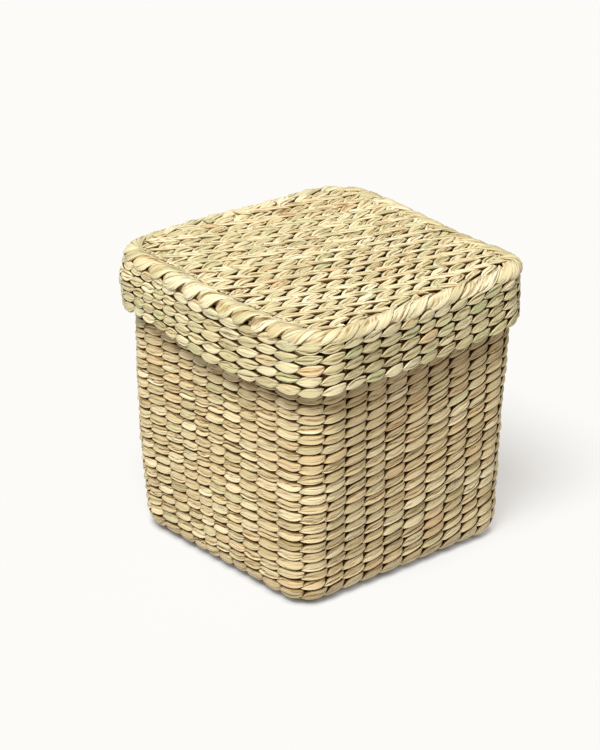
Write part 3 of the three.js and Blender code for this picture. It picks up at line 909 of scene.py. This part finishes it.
# A border of broad strands laid round the edge like a rope, each a lens in section whose middle
# turns about an oval core as it goes along.
def laidBorder(shell, style):
    rng = np.random.default_rng(style["seed"])
    plies, stitches = style["plies"], style["stitches"]
    sign = -1 if shell["turned"] else 1
    stations = stitches * style["stationsPerStitch"]
    place = np.arange(stations) / style["stationsPerStitch"]
    along = (place / stitches * shell["length"])[:, None]
    strands = []
    halfSpan = math.pi / plies * style["overlap"]
    for ply in range(plies):
        turn = 2 * math.pi * (place + ply) / plies
        angle = sign * (turn[:, None] + halfSpan * acrossShares[None, :])
        spread = rng.uniform(-style["swellVary"], style["swellVary"], stitches)
        swell = between(1 + spread, place, True)
        grooves, lines = creaseGrooves(style, place, True, stitches, rng)
        thick, edge, worn = strandSection(style, 2 * style["thick"] * swell, grooves)
        thick = np.where(onFace > 0, thick, thick * style["back"])
        out = (style["coreOut"] + thick) * np.cos(angle)
        up = (style["coreUp"] + thick) * np.sin(angle)
        points = ringPoint(shell, along + 0 * out, style["reach"] + out, style["height"] + up)
        stitch = np.floor((place + ply) / plies).astype(int) % stitches
        # Painted shade at the edges and along the crease lines; the lip is painted pale as a painted
        # highlight.
        tone = pointTone(style, strandTone(style, stitches, rng)[stitch], worn, edge + lines)
        strands.append({"points": shell["settle"](points), "closed": True, "tone": tone})
    return strands


# How leaves vary by chance, how their creases and edges of painted shade run, and how dark the painted
# shade is, also at a leaf's low end.
leafStyle = {"vary": 0.12, "thickVary": 0.1, "creaseStitches": 4, "tailFade": 4, "diveShare": 0.08,
             "diveDark": 3, "edgeDark": 0.9, "lineDark": 0.6}


# A leaf laid aslant over the lid's rounded edge, by the share of its length from its low outer
# end: it swells from the shell's skin and back into it, and has its width at right angles to its
# run. Its values are a mix of two looks.
def borderLeaf(shell, first, second, mix, place, seed):
    rng = np.random.default_rng(seed)
    style = {key: first[key] if isinstance(first[key], int) else
             np.asarray(first[key]) * (1 - mix) + np.asarray(second[key]) * mix for key in first}
    vary, thickVary = leafStyle["vary"], leafStyle["thickVary"]
    share = np.linspace(0, 1, style["stations"])
    run = np.array([style["run"], style["lift"]]) * (1 + rng.uniform(-vary, vary, 2))
    length = np.hypot(*run)
    widths = style["width"] * (1 + rng.uniform(-vary, vary))
    widths = widths * np.interp(share, style["places"], style["widths"])
    out = style["swing"] * np.interp(share, style["places"], style["bulges"])
    count = leafStyle["creaseStitches"]
    grooves, lines = creaseGrooves(style, (count - 1) * share, False, count, rng)
    thick = np.full(len(share), style["thick"] * (1 + rng.uniform(-thickVary, thickVary)))
    face, edge, worn = strandSection(style, thick, grooves)
    edge = edge * clamp(leafStyle["tailFade"] * (1 - share))[:, None]
    across = widths[:, None] / 2 * acrossShares[None, :]
    bow = style["bow"] * (1 - (2 * share - 1) ** 2)
    along = place + run[0] * (share - style["middle"])
    up = style["start"] - run[1] * share + bow
    tilt = math.radians(style["tilt"])
    sideways = across * math.cos(tilt) - face * math.sin(tilt)
    gridAlong = along[:, None] + sideways * run[1] / length
    gridUp = up[:, None] + sideways * run[0] / length
    points = shellPoint(shell, gridAlong, gridUp,
                        out[:, None] + across * math.sin(tilt) + face * math.cos(tilt))
    # Painted shade: dark along the edges, at the low end where the leaf tucks under, and along the crease
    # lines.
    dive = clamp(leafStyle["diveShare"] - share)[:, None] * leafStyle["diveDark"]
    age = leafStyle["edgeDark"] * edge + dive + leafStyle["lineDark"] * lines
    tone = pointTone(style, strandTone(style, 3, rng)[1:2], worn, age)
    return {"points": shell["settle"](points), "closed": False, "tone": tone}


# Along the walls that the rows run beside, the leaves lie nearly along the edge.
alongLeaf = {
    "stations": 13, "creases": 5,
    "run": 25.0,          # length along the edge
    "lift": 7.5,          # length up over the edge, at the middle of the skin
    "start": 5.4,         # how far below the lid's top it starts, at the middle of the skin
    "middle": 0.4,
    "bow": 0.5,
    "width": 4.3,
    "tilt": 16.0,         # degrees that a leaf leans over the one below
    "places": (0, 0.06, 0.16, 0.35, 0.6, 0.8, 1.0),
    "widths": (0.1, 0.35, 0.7, 1.0, 0.95, 0.75, 0.35),
    "bulges": (0.4, 0.75, 0.95, 1.0, 0.95, 0.75, 0.2),
    "swing": 1.4, "thick": 1.9, "darkEdge": 0.2, "lip": 0.0, "wornEdge": 0.25, "creaseDepth": 0.4,
    "toneVary": 0.26, "hue": 0.0, "hueVary": 0.18,
}
# Over the rows' ends, the leaves are plump at their low ends and run inwards with long tails.
endLeaf = {**alongLeaf, "run": 17.0, "lift": 9.0, "start": 4.7, "middle": 0.35, "width": 6.6, "tilt": 8.0,
           "widths": (0.35, 0.75, 1.0, 1.0, 0.75, 0.5, 0.25),
           "bulges": (0.4, 0.85, 1.0, 1.0, 0.85, 0.6, 0.15), "swing": 1.7, "thick": 2.2, "hue": 0.02}
# The two looks change over along the edge: turnover says how fast.
border = {"leaves": 46, "jitter": 0.6, "turnover": 1.6, "placeSeed": 520, "leafSeed": 530}
length = lidShell["length"]
leafPlaces = (np.arange(border["leaves"]) + 0.5) * length / border["leaves"]
leafPlaces = leafPlaces + np.random.default_rng(border["placeSeed"]).normal(
    0, border["jitter"], border["leaves"])
strands = []
for index, place in enumerate(leafPlaces):
    overEnds = 0.5 - border["turnover"] * math.cos(4 * math.pi * place / length)
    overEnds = float(clamp(overEnds))
    strands.append(borderLeaf(lidShell, alongLeaf, endLeaf, overEnds, place, border["leafSeed"] + index))
# Two stray strands: a broad smooth one over the left corner, and one up and over the right one.
cornerLeaf = {**alongLeaf, "run": 17.0, "lift": 4.0, "start": 3.2, "middle": 0.5, "width": 7.5,
              "swing": 1.7, "creases": 0, "hue": 0.04, "toneVary": 0.0}
wrapLeaf = {**alongLeaf, "run": 5.0, "lift": 15.0, "start": 8.0, "width": 4.6, "swing": 2.4, "hue": 0.1}
leftCorner, rightCorner = 2.5 * lidShell["quarter"], 0.5 * lidShell["quarter"] + 2
for leaf, place, seed in ((cornerLeaf, leftCorner, 590), (wrapLeaf, rightCorner, 591)):
    strands.append(borderLeaf(lidShell, leaf, leaf, 0.0, place, seed))
addPiece("laid_", strands, ["lid_border"], "lid", borderRush)

# The lid's lining lies just inside its top edge, and the rim's border closes the mouth.
liningStyle = {
    "plies": 3, "stitches": 45, "stationsPerStitch": 10, "reach": lidHalf - 4.6, "height": 3.0,
    "coreOut": 1.6, "coreUp": 0.8, "thick": 0.8, "swellVary": 0.15, "overlap": 1.04, "darkEdge": 0.2,
    "back": 0.4,  # thickness of a ply's inner face as a share of its outer one's
    "lip": 0.0, "wornEdge": 0.0, "creases": 5, "creaseDepth": 0.4, "toneVary": 0.24, "hue": 0.04,
    "hueVary": 0.16, "seed": 500,
}
strands = laidBorder(lidShell, liningStyle)
addPiece("laid_", strands, ["lid_lining"], "lid", borderRush)

rimStyle = {**liningStyle, "stitches": 42, "reach": bodyHalf - wallThickness / 2, "height": rimTop - 4.6,
            "coreOut": 1.3, "coreUp": 1.2, "thick": 1.0, "seed": 510}
strands = laidBorder(bodyShell, rimStyle)
addPiece("laid_", strands, ["rim_border"], "box_body", borderRush)
print("borders made")


# Stage

stage = {
    "floor": "#7e7c79",
    "floorHalf": 6,         # metres
    "floorRoughness": 0.9,
    "floorGlow": 0.58,      # the floor is lit from below too, so shadows on it stay pale
    "floorGlowColour": "#fffdfa",
    "contactMm": 3.5,       # how near the box has to be for the glow to fade under it, as a painted contact shadow
    "contactSamples": 8,
    "worldStrength": 0.32,
    "worldColour": "#fff0dc",
    "keyStrength": 6.0,
    "keyColour": "#f2f8ff",
    "keyAngle": 25.0,       # degrees across the soft light as the box sees it
    "keyAzimuth": 27.0,
    "keyElevation": 61.0,
    "keyDistance": 2,
}
floorCorners = [(stage["floorHalf"] * x, stage["floorHalf"] * y, 0)
                for x, y in ((-1, -1), (1, -1), (1, 1), (-1, 1))]
floorMesh = bpy.data.meshes.new("floor")
floorMesh.from_pydata(floorCorners, [], [(0, 1, 2, 3)])
floor = addObject("floor", floorMesh)
floorMaterial = bpy.data.materials.new("pale studio floor")
floorMaterial.use_nodes = True
floorTree = floorMaterial.node_tree
floorShader = floorTree.nodes["Principled BSDF"]
floorShader.inputs["Base Color"].default_value = hexColour(stage["floor"])
floorShader.inputs["Roughness"].default_value = stage["floorRoughness"]
floorShader.inputs["Emission Color"].default_value = hexColour(stage["floorGlowColour"])
# The glow fades where ambient occlusion finds the box near: a painted contact shadow under the box's
# edges.
closeness = addNode(floorTree, "AmbientOcclusion", {
    "Distance": stage["contactMm"] * metresPerMm, "samples": stage["contactSamples"]})
glow = addNode(floorTree, "Math", {"operation": "MULTIPLY", 1: stage["floorGlow"]},
               {0: closeness.outputs["AO"]})
floorTree.links.new(glow.outputs[0], floorShader.inputs["Emission Strength"])
floorMesh.materials.append(floorMaterial)

world = bpy.data.worlds.new("studio")
bpy.context.scene.world = world
world.use_nodes = True
background = world.node_tree.nodes["Background"]
background.inputs["Color"].default_value = hexColour(stage["worldColour"])
background.inputs["Strength"].default_value = stage["worldStrength"]


# Turns a camera or light, which looks down its own -Z axis, to face a point.
def aimAt(holder, eye, target):
    holder.location = eye
    holder.rotation_euler = mathutils.Vector(target - eye).to_track_quat("-Z", "Y").to_euler()


# Unit vector from the box towards an azimuth and elevation in degrees.
def towards(azimuth, elevation):
    a, e = math.radians(azimuth), math.radians(elevation)
    return np.array([math.sin(a) * math.cos(e), -math.cos(a) * math.cos(e), math.sin(e)])


key = bpy.data.lights.new("key light", "SUN")
key.energy, key.angle = stage["keyStrength"], math.radians(stage["keyAngle"])
key.color = hexColour(stage["keyColour"])[:3]
towardsKey = towards(stage["keyAzimuth"], stage["keyElevation"])
aimAt(addObject("key light", key), stage["keyDistance"] * towardsKey, np.zeros(3))

# The photograph's view, from a fit of the outline.
view = {
    "azimuth": 48.31,
    "elevation": 25.01,
    "distance": 1.547,
    "framePixels": (600, 750),
    "focalPixels": 3553.8,
    "centrePixel": (320.9, 391.8),  # where the middle of the box falls
}
back = towards(view["azimuth"], view["elevation"])
right = np.array([math.cos(math.radians(view["azimuth"])), math.sin(math.radians(view["azimuth"])), 0])
upward = np.cross(back, right)
middle = np.array([0, 0, overallHeight * metresPerMm / 2])
perPixel = view["distance"] / view["focalPixels"]
aim = middle - right * (view["centrePixel"][0] - view["framePixels"][0] / 2) * perPixel
aim = aim + upward * (view["centrePixel"][1] - view["framePixels"][1] / 2) * perPixel
cameraData = bpy.data.cameras.new("camera")
cameraData.lens = view["focalPixels"] * cameraData.sensor_width / max(view["framePixels"])
camera = addObject("camera", cameraData)
aimAt(camera, middle + back * view["distance"], aim)
bpy.context.scene.camera = camera
bpy.context.scene.view_settings.view_transform = "Standard"
print("stage set")
